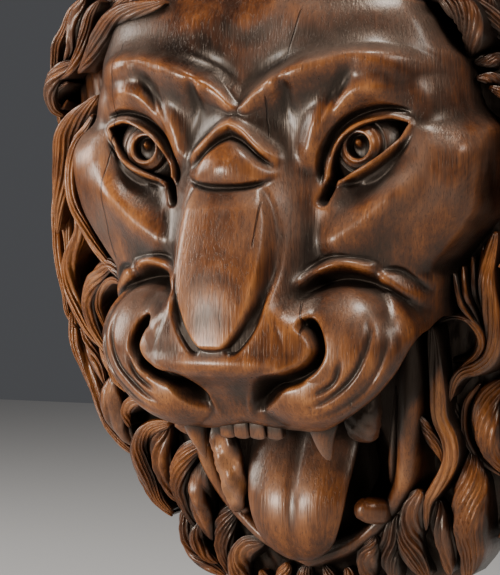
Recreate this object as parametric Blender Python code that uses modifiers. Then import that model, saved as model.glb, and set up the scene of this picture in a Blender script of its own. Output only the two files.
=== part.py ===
"""Carved wooden lion mask for a wall, one solid piece of wood with a flat back.

Metres, +Z up. The origin is the middle of the flat back, which lies on y = 0, and the face looks
along -Y with +X to the viewer's right. Every shape is worked out in the carver's frame (a, b, h):
a runs to the right, b runs up, and h is the height above the wall, in units of MASK_HEIGHT / 665,
which makes one unit a millimetre at the mask's real size.
"""

import math

import bmesh
import bpy
import numpy as np
from mathutils import Matrix

# Real sizes, in metres
MASK_HEIGHT = 0.665
EYE_RADIUS = 0.040
FANG_LENGTH = 0.040
TONGUE_WIDTH = 0.104
TONGUE_THICKNESS = 0.022
LIP_THICKNESS = 0.017
LOCK_THICKNESS = 0.021

# How finely the carving is worked
CELL = 0.0034
TRIANGLES = 9600

UNIT = MASK_HEIGHT / 665
NAME = "lion_mask"

# Carver's frame: (height up the mask, value) pairs read as smooth curves
OUTLINE = [
    (-325, 20), (-300, 64), (-270, 100), (-240, 130), (-203, 162), (-160, 184), (-107, 216), (-60, 236),
    (0, 250), (60, 266), (150, 272), (200, 266), (240, 242), (280, 192), (312, 118), (328, 50),
]
FACE_DEPTH = [
    (-330, 120), (-130, 182), (-60, 196), (0, 204), (120, 211), (210, 211), (250, 198), (300, 150),
    (340, 90),
]
FACE_WIDTH = [
    (-330, 120), (-130, 172), (-60, 188), (0, 206), (60, 222), (110, 228), (160, 221), (210, 203),
    (260, 180), (340, 120),
]
NOSE_WIDTH = [
    (-130, 56), (-100, 74), (-75, 84), (-55, 86), (-30, 76), (0, 66), (40, 62), (80, 56), (110, 46),
    (150, 26), (200, 14),
]
NOSE_DEPTH = [
    (-135, 208), (-98, 231), (-74, 256), (-54, 262), (0, 259), (38, 255), (85, 240), (110, 230), (165, 220),
    (220, 206),
]
SHIELD_WIDTH = [(-60, 0), (-54, 7), (-32, 30), (5, 44), (30, 46), (55, 45), (76, 35), (85, 0)]
MOUTH_WIDTH = [
    (-290, 0), (-262, 12), (-241, 36), (-222, 56), (-203, 74), (-189, 88), (-150, 98), (-110, 108),
    (-40, 112),
]
HAIRLINE = [
    (-130, 176), (-30, 168), (0, 160), (12, 158), (27, 169), (50, 187), (72, 197), (130, 203), (153, 192),
    (190, 182), (208, 170), (226, 160), (243, 146), (258, 110), (266, 60), (270, 0),
]
# How far out from the middle, and how far up, the lower edge of the upper lip runs
LIP_EDGE = [
    (0, -121), (20, -125), (45, -129), (70, -127), (95, -117), (120, -100), (140, -78), (152, -52),
    (158, -30),
]
# Levels above the wall, and how deep a lock's foot is sunk in the bed of the mane
MOUTH_FLOOR = 42
SIDE_OF_HEAD = 74
ROOT_DEPTH = 6

# Sweeping locks of the mane: start (a, b, h), end (a, b, h), bow, sway, thickness as a share.
# The outer ones are carved alike on both sides, and given here for the left.
OUTER_LOCKS = [
    ((-140, 272, 104), (-258, 176, 76), -26, -4, 1.1),
    ((-234, 264, 70), (-278, 192, 56), -13, 4, 1.2),
    ((-280, 190, 44), (-276, 122, 40), -6, 0, 1.0),
    ((-190, 166, 128), (-270, 45, 60), -24, -8, 1.0),
    ((-196, 140, 122), (-262, 37, 80), -16, -5, 1.0),
    ((-208, 110, 118), (-238, 8, 88), -10, -4, 1.0),
    ((-232, 72, 100), (-250, 0, 72), 13, 4, 0.9),
    ((-272, 56, 40), (-250, -30, 40), -6, 5, 1.1),
    ((-258, 11, 56), (-212, -75, 84), -16, -5, 0.8),
    ((-250, -48, 45), (-218, -109, 66), -5, 0, 0.8),
    ((-248, -40, 38), (-192, -170, 38), -10, 0, 1.1),
]
INNER_LOCKS = [
    ((-151, 258, 120), (-248, 194, 92), -17, -2, 1.2),
    ((-254, 196, 80), (-276, 158, 60), -12, 0, 1.0),
    ((-187, 20, 118), (-214, -72, 90), -39, 3, 0.9),
    ((-178, -2, 116), (-202, -78, 92), -28, 3, 0.7),
    ((-174, -115, 90), (-200, -153, 60), -15, 7, 0.8),
    ((-164, -143, 70), (-154, -230, 40), -30, -6, 1.2),
    ((-125, -147, 80), (-130, -229, 60), -35, -1, 1.1),
    ((-101, -154, 88), (-136, -226, 58), -20, 3, 0.8),
    ((-144, -216, 45), (-106, -272, 32), -10, 0, 1.1),
    ((-98, -205, 60), (-82, -292, 36), -6, -4, 1.1),
    ((159, -5, 128), (150, -100, 94), 33, 9, 0.9),
    ((134, -44, 108), (112, -203, 70), 13, -9, 0.9),
    ((170, -78, 74), (168, -165, 60), -22, 3, 1.3),
    ((145, -168, 60), (148, -250, 42), 16, -1, 1.3),
    ((135, -174, 62), (122, -276, 38), -7, -6, 1.1),
    ((112, -201, 70), (98, -280, 44), -19, 0, 1.0),
    ((98, -202, 72), (50, -275, 56), -5, 2, 1.0),
    ((150, -103, 90), (145, -182, 65), 4, -6, 0.8),
    ((151, 247, 124), (181, 180, 96), 5, 3, 1.1),
    ((167, 249, 100), (200, 196, 84), 8, 2, 1.1),
]


def smooth_curve(points, steps=12):
    """Catmull-Rom curve through the points, with its end slopes carried on."""
    p = np.asarray(points, float)
    q = np.vstack([2 * p[0] - p[1], p, 2 * p[-1] - p[-2]])
    t = np.linspace(0, 1, steps, endpoint=False)[:, None, None]
    a, b, c, d = q[:-3], q[1:-2], q[2:-1], q[3:]
    bend = a - 2.5 * b + 2 * c - 0.5 * d
    twist = 1.5 * (b - c) + 0.5 * (d - a)
    spans = b + 0.5 * (c - a) * t + bend * t**2 + twist * t**3
    return np.vstack([spans.transpose(1, 0, 2).reshape(-1, p.shape[1]), p[-1:]])


def read(points, value):
    """The smooth curve through (input, output) pairs, read at each value."""
    curve = smooth_curve(points)
    order = np.argsort(curve[:, 0])
    return np.interp(value, curve[order, 0], curve[order, 1])


def soft(t):
    """0 below 0, 1 above 1, and a smooth step between."""
    t = np.clip(t, 0, 1)
    return t * t * (3 - 2 * t)


def soft_max(a, b, blend):
    """The larger of two heights, with their meeting rounded over the blend."""
    share = np.clip(0.5 + 0.5 * (a - b) / blend, 0, 1)
    return b + (a - b) * share + blend * share * (1 - share)


def distance(a, b, curve):
    """Distance of each point to a curve, and how far along it the nearest place lies."""
    best = np.full(a.shape, np.inf)
    along = np.zeros(a.shape)
    for index, (start, end) in enumerate(zip(curve[:-1], curve[1:])):
        span = end - start
        t = np.clip(((a - start[0]) * span[0] + (b - start[1]) * span[1]) / (span @ span), 0, 1)
        d = np.hypot(a - start[0] - t * span[0], b - start[1] - t * span[1])
        near = d < best
        best[near] = d[near]
        along[near] = (index + t[near]) / (len(curve) - 1)
    return best, along


def stroke(a, b, points, width, rise, ends=(0.2, 0.2)):
    """A ridge, or a groove where rise is negative: a bell across the curve that fades at its ends."""
    d, along = distance(a, b, smooth_curve(points, 6))
    fade = soft(along / max(ends[0], 1e-6)) * soft((1 - along) / max(ends[1], 1e-6))
    return rise * fade * np.exp(-((d / width) ** 2))


def swell(a, b, centre, radii, rise, turn=0.0):
    """A smooth oval swelling or hollow, (1 - r squared) squared."""
    c, s = math.cos(math.radians(turn)), math.sin(math.radians(turn))
    u = ((a - centre[0]) * c + (b - centre[1]) * s) / radii[0]
    v = (-(a - centre[0]) * s + (b - centre[1]) * c) / radii[1]
    return rise * np.maximum(1 - u * u - v * v, 0) ** 2


def boss(a, b, centre, radii, foot, rise, turn=0.0):
    """The height of a rounded boss whose top is an ellipsoid standing on a foot level."""
    c, s = math.cos(math.radians(turn)), math.sin(math.radians(turn))
    u = ((a - centre[0]) * c + (b - centre[1]) * s) / radii[0]
    v = (-(a - centre[0]) * s + (b - centre[1]) * c) / radii[1]
    r = u * u + v * v
    return np.where(r < 1, foot + rise * np.sqrt(np.maximum(1 - r, 0)), foot - 200 * (np.sqrt(r) - 1))


def skull(a, b):
    """Broad form of the head: depth on the middle line, rounded off to the sides as a superellipse."""
    depth, width = read(FACE_DEPTH, b), read(FACE_WIDTH, b)
    rounding = np.maximum(1 - np.clip(a / width, 0, 1) ** 3, 0) ** (1 / 3)
    return SIDE_OF_HEAD + (depth - SIDE_OF_HEAD) * rounding


def brow(a, b):
    """Brow masses meeting in a V over the nose, their frown furrows and the eye sockets."""
    ridge = [(-6, 150), (22, 166), (50, 181), (80, 191), (112, 196), (142, 189), (168, 170)]
    h = stroke(a, b, ridge, 15, 9, (0, 0.3))
    h += swell(a, b, (128, 172), (62, 34), 6, -8)
    h += swell(a, b, (166, 158), (26, 24), 7)
    h += swell(a, b, (66, 168), (34, 52), 5, 20)
    h += swell(a, b, (0, 215), (60, 50), -6)
    h += stroke(a, b, [(50, 180), (46, 162), (47, 140)], 9, -10, (0.4, 0.4))
    h += stroke(a, b, [(92, 186), (82, 166), (74, 142), (62, 114)], 7, -7)
    h += swell(a, b, (108, 110), (66, 46), -15, 25)
    h += stroke(a, b, [(62, 92), (66, 116), (77, 140), (96, 158), (122, 166), (150, 158)], 11, 9)
    return h


def cheek(a, b):
    """Cheekbone running up and out from beside the nose."""
    return stroke(a, b, [(62, 18), (90, 38), (118, 56), (145, 80), (165, 108)], 18, 11, (0.25, 0.35))


def add_nose(a, b, h):
    """Nose barrel, the wrinkles on its bridge and the raised shield on its front."""
    fall = soft((read(NOSE_WIDTH, b) + 12 - a) / 46)
    h = h + np.maximum(read(NOSE_DEPTH, b) - h, 0) * fall * soft((205 - b) / 60)
    h += stroke(a, b, [(-8, 136), (14, 132), (30, 117), (46, 102)], 6, 7, (0, 0.25))
    h += stroke(a, b, [(-8, 124), (14, 121), (29, 107), (44, 95)], 5, -9, (0, 0.3))
    h += swell(a, b, (0, 101), (50, 21), 10)
    h += stroke(a, b, [(-8, 81), (20, 83), (38, 88), (52, 94)], 5, -8, (0, 0.35))
    on_shield = (b < 84) & (b > -58)
    h += 6 * soft((read(SHIELD_WIDTH, b) - a + 2) / 7) * on_shield * soft((86 - b) / 14)
    rim = [(-8, -60), (12, -53), (24, -42), (36, -25), (45, -2), (49, 25), (48, 52), (42, 72)]
    h += stroke(a, b, rim, 5, -10, (0, 0.3))
    low = read([(-10, -77), (0, -77.5), (30, -75), (55, -70), (75, -62), (92, -50), (110, -40)], a)
    pad = soft((97 - a) / 9) * soft((b - low) / 7) * soft((-18 - b) / 26)
    h += np.maximum(250 + 8 * soft((60 - a) / 60) - h, 0) * pad
    return h


def add_muzzle(a, b, h):
    """Whisker pads, the fold of skin round them, the comma nostrils and the hollows by the septum."""
    h = soft_max(h, boss(a, b, (90, -60), (68, 66), 176, 62, 8), 8)
    h = soft_max(h, boss(a, b, (62, -92), (72, 42), 186, 50, -8), 10)
    fold = [(58, -8), (68, 5), (86, 14), (110, 15), (134, 7), (152, -10), (163, -38), (165, -70), (158, -99)]
    h += stroke(a, b, fold, 8, 12)
    crease = [(56, -18), (72, -3), (95, 5), (118, 3), (138, -9), (153, -32), (157, -60), (151, -90)]
    h += stroke(a, b, crease, 5, -10)
    h += swell(a, b, (36, -96), (34, 16), -16, 20)
    nostril = [
        (76, -36), (88, -34), (96, -44), (95, -58), (86, -69), (72, -78), (56, -85), (42, -91), (28, -100),
    ]
    h += stroke(a, b, nostril, 6, -20, (0.12, 0.2))
    h += stroke(a, b, [(66, -82), (46, -91), (28, -100)], 8, -12, (0.3, 0.3))
    return h


def add_eye(a, b, h):
    """Eyeball in its almond opening, with a thick upper lid, a lower lid rim and a deep tear duct."""
    upper = [(80, 88), (81, 99), (86, 113), (95, 125), (108, 134), (122, 139), (134, 140), (146, 137)]
    upper = smooth_curve(upper, 6)
    lower = smooth_curve([(146, 137), (138, 124), (127, 112), (112, 102), (97, 95), (87, 91), (80, 88)], 6)
    away = np.minimum(distance(a, b, upper)[0], distance(a, b, lower)[0])
    top = np.interp(a, upper[:, 0], upper[:, 1])
    bottom = np.interp(a, lower[::-1, 0], lower[::-1, 1])
    inside = (b < top) & (b > bottom) & (a > 80) & (a < 146)
    away = np.where(inside, -away, away)
    radius = EYE_RADIUS / UNIT
    ball = 203 - radius + np.sqrt(np.maximum(radius**2 - (a - 107) ** 2 - (b - 116) ** 2, 0))
    pupil = np.hypot(a - 105, b - 118)
    ball = ball - 6 * soft((12 - pupil) / 4) - 1.5 * np.exp(-((pupil - 22) ** 2) / 4)
    lid = soft((away + 0.8) / 3)
    lid_top = soft_max(h, ball + 8 * np.exp(-((np.maximum(away, 0) / 15) ** 2)), 5)
    lid_top += 3 * np.exp(-(((away - 3.5) / 2.6) ** 2))
    near = soft((27 - away) / 14)
    eye = (1 - lid) * np.minimum(ball, h + 20) + lid * (h * (1 - near) + lid_top * near)
    h = np.where(away < 28, eye, h)
    crease = [(71, 82), (70, 98), (75, 114), (84, 130), (98, 142), (115, 149), (133, 151), (152, 147)]
    h += stroke(a, b, crease, 3, -8)
    h += stroke(a, b, [(82, 92), (77, 80), (71, 65)], 4.5, -17, (0.2, 0.25))
    return h


def mane_bed(a, b):
    """The bed that the locks lie on: it climbs from the outline towards the head."""
    half = smooth_curve([(width, up) for up, width in OUTLINE], 4)
    half = np.vstack([[0, -332], half, [0, 338]])
    edge = distance(a, b, half)[0]
    widest = np.interp(b, half[:, 1], half[:, 0])
    inset = np.where((a < widest) & (b > -332) & (b < 338), edge, -edge)
    steep = read([(-330, 0.5), (-200, 0.6), (-100, 0.7), (0, 0.95), (100, 1.15), (335, 1.3)], b)
    bed = 30 * np.sqrt(np.clip(inset / 10, 0, 1)) + steep * np.maximum(inset - 10, 0)
    most = read([(-330, 80), (-200, 84), (-100, 92), (0, 120), (100, 138), (335, 140)], b)
    return np.where(inset > 0, np.minimum(bed, most), -30)


def face_height(a, b):
    """Height of the right half of the carving above the wall, mouth and bed of the mane with it."""
    h = skull(a, b) + brow(a, b) + cheek(a, b)
    h = add_nose(a, b, h)
    h = add_muzzle(a, b, h)
    h = add_eye(a, b, h)
    bed = mane_bed(a, b)
    lip = read(LIP_EDGE, np.minimum(a, 158))
    below_lip = (b < lip) | ((a > 158) & (b < -30))
    in_mouth = (a < read(MOUTH_WIDTH, b)) & (b > -290)
    beyond = soft((a - read(HAIRLINE, b) + 8) / 16)
    beyond = np.where(b > 270, 1, beyond)
    h = h + (np.minimum(bed, h) - h) * beyond
    h = np.where(below_lip, bed, h)
    under_tongue = swell(a, b, (0, -200), (66, 92), 66)
    h = np.where(below_lip & in_mouth, np.minimum(MOUTH_FLOOR, h) + under_tongue, h)
    return np.where(bed < 0, bed, h)


def relief_block():
    """The whole front as a finely divided slab whose points stand at the carving's height."""
    half_width, low, high, step, back = 300, -340, 345, 3.0, -40.0
    across, up = int(2 * half_width / step), int((high - low) / step)
    mesh = bpy.data.meshes.new("relief")
    bm = bmesh.new()
    bmesh.ops.create_grid(bm, x_segments=across, y_segments=up, size=0.5)
    bm.verts.ensure_lookup_table()
    flat = np.array([v.co[:] for v in bm.verts])
    a, b = flat[:, 0] * 2 * half_width, low + (flat[:, 1] + 0.5) * (high - low)
    heights = face_height(np.abs(a), b)
    for vert, x, y, z in zip(bm.verts, a, b, heights):
        vert.co = (x, y, z)
    rim = [edge for edge in bm.edges if edge.is_boundary]
    walls = bmesh.ops.extrude_edge_only(bm, edges=rim)["geom"]
    for item in walls:
        if isinstance(item, bmesh.types.BMVert):
            item.co.z = back
    bmesh.ops.holes_fill(bm, edges=[edge for edge in bm.edges if edge.is_boundary], sides=0)
    bmesh.ops.recalc_face_normals(bm, faces=bm.faces)
    bm.to_mesh(mesh)
    bm.free()
    return bpy.data.objects.new("relief", mesh)


def tube(path, radii, section=(1.0, 1.0), sides=10, across=None, rooted=False):
    """An oval section carried along a path, its size following the radii, with closed ends.

    path holds (a, b, h) points; section gives the oval's half width across the path and half depth.
    The width lies level with the wall unless across names its direction. Where rooted is set, the
    under half of the section reaches down into the bed of the mane.
    """
    path = np.asarray(path, float)
    radii = np.broadcast_to(np.asarray(radii, float), len(path))
    ahead = np.gradient(path, axis=0)
    ahead /= np.linalg.norm(ahead, axis=1)[:, None]
    if across is None:
        across = np.cross(ahead, [0, 0, 1.0])
        across /= np.linalg.norm(across, axis=1)[:, None]
    else:
        across = np.tile(np.asarray(across, float), (len(path), 1))
    out = np.cross(across, ahead)
    turn = np.linspace(0, 2 * math.pi, sides, endpoint=False)
    ring = (
        np.cos(turn)[None, :, None] * across[:, None] * section[0]
        + np.sin(turn)[None, :, None] * out[:, None] * section[1]
    )
    points = (path[:, None] + ring * radii[:, None, None]).reshape(-1, 3)
    if rooted:
        under = (ring[..., 2] < -0.2).reshape(-1)
        bed = mane_bed(np.abs(points[:, 0]), points[:, 1]) - ROOT_DEPTH
        points[under, 2] = np.minimum(points, bed[:, None])[under, 2]
    bm = bmesh.new()
    verts = [bm.verts.new(point) for point in points]
    for start in range(0, len(points) - sides, sides):
        near, far = verts[start : start + sides], verts[start + sides : start + 2 * sides]
        for i in range(sides):
            j = (i + 1) % sides
            bm.faces.new([near[i], near[j], far[j], far[i]])
    bm.faces.new(verts[:sides][::-1])
    bm.faces.new(verts[-sides:])
    bmesh.ops.recalc_face_normals(bm, faces=bm.faces)
    mesh = bpy.data.meshes.new("tube")
    bm.to_mesh(mesh)
    bm.free()
    return bpy.data.objects.new("tube", mesh)


def lock_path(start, end, bow, sway, count=15):
    """The chord from start to end, bent aside by bow sin(pi t) + sway sin(2 pi t)."""
    t = np.linspace(0, 1, count)[:, None]
    start, end = np.array(start, float), np.array(end, float)
    chord = end - start
    aside = np.array([-chord[1], chord[0], 0]) / math.hypot(chord[0], chord[1])
    return start + chord * t + aside * (bow * np.sin(math.pi * t) + sway * np.sin(2 * math.pi * t))


def mane_locks():
    """Every lock: those in the tables, the crown, the end of the beard and the edge of the cheeks."""
    rows = INNER_LOCKS + OUTER_LOCKS
    for (a0, b0, h0), (a1, b1, h1), bow, sway, share in OUTER_LOCKS:
        rows.append(((-a0, b0, h0), (-a1, b1, h1), -bow, -sway, share))
    for side in (-1, 1):
        for k in range(4):
            root, tip = 14 + 36 * k, 24 + 50 * k
            start, end = (side * root, 262 - 4 * k, 172 - 8 * k), (side * tip, 312 - 3 * k * k, 44)
            rows.append((start, end, side * 12, side * -6, 1.5))
            start = (side * (root + 18), 258 - 5 * k, 156 - 8 * k)
            end = (side * (tip + 24), 304 - 4 * k * k, 50)
            rows.append((start, end, side * 8, side * -9, 1.2))
        for k in range(3):
            root, tip = (20 + 30 * k, -262 + 8 * k), (8 + 30 * k, -318 + 14 * k)
            start, end = (side * root[0], root[1], 56), (side * tip[0], tip[1], 24)
            rows.append((start, end, side * 7, side * -5, 1.2))
        for k in range(7):
            up = 196 - 33 * k
            edge = float(read(HAIRLINE, up))
            start, end = (side * (edge - 6), up, 140), (side * (edge + 46), up - 44, 96)
            rows.append((start, end, side * -10, side * 5, 0.85))
    thick = LOCK_THICKNESS / UNIT
    made = []
    for start, end, bow, sway, share in rows:
        path = lock_path(start, end, bow, sway)
        t = np.linspace(0, 1, len(path))
        radii = thick * share * (0.3 + 0.7 * np.sin(math.pi * (0.16 + 0.8 * t)) ** 0.8)
        path[:, 2] -= 0.5 * radii
        made.append(tube(path, radii, (0.8, 1.3), rooted=True))
    return made


def tongue():
    """The tongue comes out over the lower jaw, humps forward and hangs down to a rounded tip."""
    spine = [
        (-150, 36), (-140, 62), (-146, 86), (-172, 101), (-200, 110), (-228, 110), (-247, 103), (-256, 95),
    ]
    spine = smooth_curve(spine, 4)
    path = [(0.0, b, h) for b, h in spine]
    t = np.linspace(0, 1, len(path))
    radii = np.interp(t, [0, 0.3, 0.57, 0.72, 0.86, 0.95, 1], [0.96, 1.06, 1.0, 0.86, 0.6, 0.36, 0.1])
    half = TONGUE_WIDTH / UNIT / 2
    thick = TONGUE_THICKNESS / UNIT / 2
    # The section's across axis is the a axis and its out axis is the tongue's own thickness
    return tube(path, radii, (half, thick), 14, (1, 0, 0))


def lower_jaw():
    """The lip's rim from both corners of the mouth round under the tongue."""
    half = [
        (116, -34, 96), (121, -66, 84), (117, -105, 80), (108, -138, 76), (99, -172, 72), (91, -191, 70),
        (78, -206, 68), (61, -224, 68), (38, -244, 70), (0, -262, 72),
    ]
    path = half + [(-a, b, h) for a, b, h in half[-2::-1]]
    return tube(smooth_curve(path, 4), LIP_THICKNESS / UNIT / 2, (1.0, 2.0))


def chin():
    """Mass of the jaw that carries the lip's rim."""
    half = [
        (128, -60, 60), (124, -110, 56), (112, -160, 52), (92, -204, 48), (64, -238, 50), (38, -258, 54),
        (0, -274, 56),
    ]
    path = half + [(-a, b, h) for a, b, h in half[-2::-1]]
    return tube(smooth_curve(path, 4), 22, (1.0, 1.2))


def teeth():
    """Two upper fangs, a row of incisors, two lower canines and the rounded upper molars."""
    made = []
    fang = FANG_LENGTH / UNIT
    for side in (-1, 1):
        root, middle, tip = (60, -116, 190), (60, -116 - 0.5 * fang, 182), (59, -116 - fang, 172)
        made.append(tube([(side * a, b, h) for a, b, h in (root, middle, tip)], [11, 7.5, 1.2]))
        canine = [(63, -224, 66), (64, -213, 84), (64, -205, 90)]
        made.append(tube([(side * a, b, h) for a, b, h in canine], [11, 9.5, 5]))
        molars = [(72, -118, 172), (84, -128, 148), (96, -128, 124), (104, -124, 96)]
        made.append(tube([(side * a, b, h) for a, b, h in molars], [9, 12, 12, 9]))
        for k in range(3):
            middle = side * (5.8 + 11.4 * k)
            incisor = [(middle, -112, 198 - k), (middle, -141, 195 - 2 * k)]
            made.append(tube(incisor, [5.4, 5.0], sides=6))
    return made


def one_mesh(pieces):
    """All the carved shapes in one mesh, turned from the carver's frame to face along -Y, in metres."""
    bm = bmesh.new()
    for piece in pieces:
        bm.from_mesh(piece.data)
        mesh = piece.data
        bpy.data.objects.remove(piece)
        bpy.data.meshes.remove(mesh)
    bm.transform(Matrix.Rotation(math.pi / 2, 4, "X") @ Matrix.Scale(UNIT, 4))
    mesh = bpy.data.meshes.new(NAME)
    bm.to_mesh(mesh)
    bm.free()
    return bpy.data.objects.new(NAME, mesh)


def fused(rough):
    """The overlapping shapes made one skin, smoothed, with the face marked so that it keeps more facets."""
    remesh = rough.modifiers.new("fuse", "REMESH")
    remesh.mode = "VOXEL"
    remesh.voxel_size = CELL
    smooth = rough.modifiers.new("smooth", "SMOOTH")
    smooth.factor = 0.5
    smooth.iterations = 2
    bpy.context.scene.collection.objects.link(rough)
    graph = bpy.context.evaluated_depsgraph_get()
    mesh = bpy.data.meshes.new_from_object(rough.evaluated_get(graph))
    bpy.data.objects.remove(rough)
    body = bpy.data.objects.new(NAME, mesh)
    places = np.empty(len(mesh.vertices) * 3, np.float32)
    mesh.vertices.foreach_get("co", places)
    a, h, b = places.reshape(-1, 3).T / UNIT * [[1], [-1], [1]]
    on_face = soft((225 - np.hypot(a, b - 30)) / 60) * soft((h - 120) / 30)
    on_tongue = (np.abs(a) < 58) & (b < -120) & (h > 84)
    plain = 1 - 0.5 * np.maximum(on_face, on_tongue)
    group = body.vertex_groups.new(name="plain")
    levels = np.round(plain * 10).astype(int)
    for level in np.unique(levels):
        group.add(np.flatnonzero(levels == level).tolist(), level / 10, "REPLACE")
    return body


def finish(body, parts, cutters):
    """The facets thinned to the number wanted, and the back cut flat on the wall's plane."""
    faces = sum(len(face.vertices) - 2 for face in body.data.polygons)
    thin = body.modifiers.new("thin", "DECIMATE")
    thin.ratio = TRIANGLES / faces
    thin.vertex_group = "plain"
    thin.vertex_group_factor = 0.02
    bm = bmesh.new()
    bmesh.ops.create_cube(bm, size=1)
    mesh = bpy.data.meshes.new("behind_back")
    bm.to_mesh(mesh)
    bm.free()
    behind = bpy.data.objects.new("behind_back", mesh)
    behind.scale = (2 * MASK_HEIGHT, MASK_HEIGHT, 2 * MASK_HEIGHT)
    behind.location = (0, MASK_HEIGHT / 2, 0)
    behind.hide_render = True
    behind.display_type = "WIRE"
    cutters.objects.link(behind)
    cut = body.modifiers.new("flat back", "BOOLEAN")
    cut.operation = "DIFFERENCE"
    cut.object = behind
    parts.objects.link(body)


def varnished_wood():
    """Dark red-brown carved wood under an old varnish."""
    material = bpy.data.materials.new("varnished carved wood")
    material.use_nodes = True
    shader = material.node_tree.nodes["Principled BSDF"]
    shader.inputs["Base Color"].default_value = (0.13, 0.05, 0.022, 1)
    shader.inputs["Roughness"].default_value = 0.38
    shader.inputs["Metallic"].default_value = 0.0
    return material


def main():
    for obj in list(bpy.data.objects):
        bpy.data.objects.remove(obj)
    parts = bpy.data.collections.new("lion wall mask")
    cutters = bpy.data.collections.new("cutters")
    cutters.hide_render = True
    bpy.context.scene.collection.children.link(parts)
    bpy.context.scene.collection.children.link(cutters)
    body = fused(one_mesh([relief_block(), tongue(), lower_jaw(), chin(), *teeth(), *mane_locks()]))
    body.data.materials.append(varnished_wood())
    finish(body, parts, cutters)


main()
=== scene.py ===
import math

import bpy
import numpy as np
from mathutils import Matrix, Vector


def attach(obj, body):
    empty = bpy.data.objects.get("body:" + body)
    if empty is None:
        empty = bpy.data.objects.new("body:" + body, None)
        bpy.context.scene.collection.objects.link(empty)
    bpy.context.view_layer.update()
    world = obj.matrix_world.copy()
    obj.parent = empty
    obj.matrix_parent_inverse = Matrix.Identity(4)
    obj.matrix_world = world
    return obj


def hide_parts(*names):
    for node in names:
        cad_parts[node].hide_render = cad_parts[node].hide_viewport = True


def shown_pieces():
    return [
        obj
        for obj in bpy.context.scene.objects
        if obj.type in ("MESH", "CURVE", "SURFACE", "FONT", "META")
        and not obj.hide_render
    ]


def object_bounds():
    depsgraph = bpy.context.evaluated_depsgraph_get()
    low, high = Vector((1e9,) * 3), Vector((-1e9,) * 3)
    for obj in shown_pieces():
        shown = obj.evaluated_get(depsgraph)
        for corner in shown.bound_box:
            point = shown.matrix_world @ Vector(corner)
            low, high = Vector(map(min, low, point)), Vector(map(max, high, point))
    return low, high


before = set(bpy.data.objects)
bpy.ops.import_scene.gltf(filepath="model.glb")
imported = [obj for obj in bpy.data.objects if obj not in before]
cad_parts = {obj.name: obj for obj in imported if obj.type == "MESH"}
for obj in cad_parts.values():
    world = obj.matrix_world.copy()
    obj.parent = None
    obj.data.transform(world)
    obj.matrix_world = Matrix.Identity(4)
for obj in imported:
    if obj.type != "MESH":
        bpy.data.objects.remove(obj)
cad_low, cad_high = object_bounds()

# Shapes are worked out in the carver's frame (a, b, h), in millimetres: a runs to the viewer's right,
# b runs up and h stands out from the wall. In metres a point lies at (a, -h, b) / 1000.


# The head: brow, cheeks, nose and whisker pads. It is one mass, shaped in the round down to the upper
# lip, whose underside runs back into the mouth. Its surface is made here as three upright planks that
# meet edge to edge on flat faces.
HEAD_BACK = 30
GLUE_FACE = 58
SIDE_OF_HEAD = 74
FACE_DEPTH = [
    (-330, 120), (-130, 182), (-60, 196), (0, 204), (120, 211), (210, 211), (250, 198), (300, 150),
    (340, 90),
]
FACE_WIDTH = [
    (-330, 120), (-130, 166), (-60, 170), (0, 182), (30, 202), (60, 222), (90, 237), (112, 238),
    (128, 222), (142, 202), (158, 192), (185, 191), (210, 190), (260, 172), (340, 120),
]
NOSE_WIDTH = [
    (-130, 56), (-100, 74), (-75, 84), (-55, 86), (-30, 76), (0, 66), (40, 62), (80, 56), (110, 46),
    (150, 26), (200, 14),
]
NOSE_DEPTH = [
    (-135, 208), (-98, 230), (-76, 260), (-58, 261), (-30, 259), (0, 256), (38, 248), (85, 235),
    (110, 229), (165, 220), (220, 206),
]
SHIELD_WIDTH = [
    (-60, 4), (-56, 13), (-50, 20), (-40, 27), (-28, 33), (-15, 38), (17, 44), (40, 45), (58, 43),
    (76, 37), (90, 26),
]
# The nose stands a little to the viewer's left of the middle
NOSE_SHIFT = 6
HAIRLINE = [
    (-130, 158), (-30, 158), (0, 160), (12, 158), (27, 169), (50, 187), (72, 197), (130, 203), (153, 192),
    (190, 182), (208, 170), (226, 160), (243, 150), (290, 146),
]
# How far out from the middle, and how far up, the lower edge of the upper lip runs
LIP_EDGE = [
    (0, -125), (20, -128), (45, -132), (70, -130), (95, -119), (120, -101), (140, -78), (152, -52),
    (158, -30),
]
LIP_ROUND = 11
EYE = (107, 116, 163)
EYE_RADIUS = 40
# How far out the head's columns reach at the lip, how many run up to the glue face and how many beyond
HEAD_REACH = 158
PLANK_COLUMNS, SIDE_COLUMNS = 74, 142


def smooth_curve(points, steps=12):
    """Catmull-Rom curve through the points, with its end slopes carried on."""
    p = np.asarray(points, float)
    q = np.vstack([2 * p[0] - p[1], p, 2 * p[-1] - p[-2]])
    t = np.linspace(0, 1, steps, endpoint=False)[:, None, None]
    a, b, c, d = q[:-3], q[1:-2], q[2:-1], q[3:]
    bend = a - 2.5 * b + 2 * c - 0.5 * d
    twist = 1.5 * (b - c) + 0.5 * (d - a)
    spans = b + 0.5 * (c - a) * t + bend * t**2 + twist * t**3
    return np.vstack([spans.transpose(1, 0, 2).reshape(-1, p.shape[1]), p[-1:]])


def read(points, value):
    """The smooth curve through (input, output) pairs, read at each value."""
    curve = smooth_curve(points)
    order = np.argsort(curve[:, 0])
    return np.interp(value, curve[order, 0], curve[order, 1])


def soft(t):
    """0 below 0, 1 above 1, and the smooth step 3t^2 - 2t^3 between."""
    t = np.clip(t, 0, 1)
    return t * t * (3 - 2 * t)


def soft_max(a, b, blend):
    """The larger of two heights, with their meeting rounded over the blend."""
    share = np.clip(0.5 + 0.5 * (a - b) / blend, 0, 1)
    return b + (a - b) * share + blend * share * (1 - share)


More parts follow.
